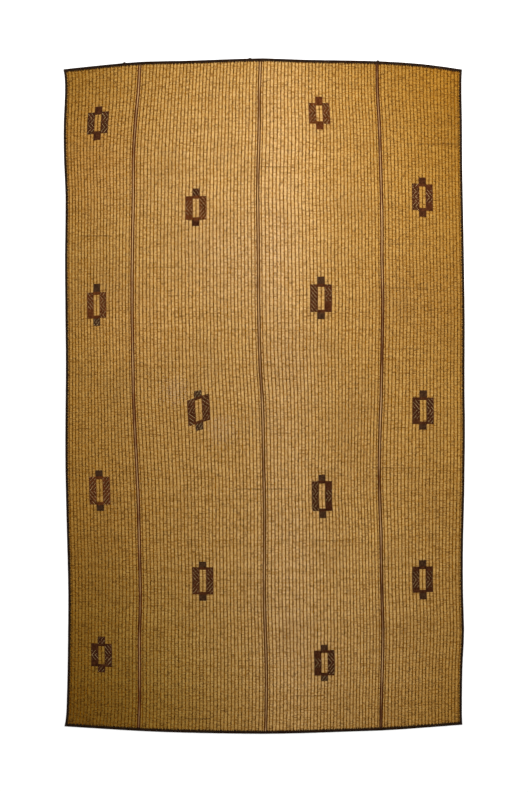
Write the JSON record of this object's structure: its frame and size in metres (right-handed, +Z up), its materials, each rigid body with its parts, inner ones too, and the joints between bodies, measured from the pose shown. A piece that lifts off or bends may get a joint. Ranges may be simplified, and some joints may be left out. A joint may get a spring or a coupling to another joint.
{
  "type": "tuareg mat",
  "caption": "Large flat floor mat of reeds bound with leather lacing, joined from lengthwise panels and edged with dark leather.",
  "frame": {"origin": "on the surface the mat lies on, under the middle of its outer box", "axes": "+Y along the mat's length and its reed-to-reed direction, +X across its width along the reeds, +Z up out of its face"},
  "size_m": [2.9691, 4.998, 0.007],
  "materials": {
    "reed": "dry golden grass stems, satin, laced with dark leather",
    "seam_leather": "worn brown leather, matt",
    "binding_leather": "near-black goat leather, dull satin"
  },
  "bodies": {
    "root": {"reed_panel_1": "reed", "reed_panel_2": "reed", "reed_panel_3": "reed", "reed_panel_4": "reed", "joining_strip_1": "seam_leather", "joining_strip_2": "seam_leather", "joining_strip_3": "seam_leather", "binding_left": "binding_leather", "binding_right": "binding_leather", "binding_top": "binding_leather", "binding_bottom": "binding_leather"}
  },
  "joints": []
}
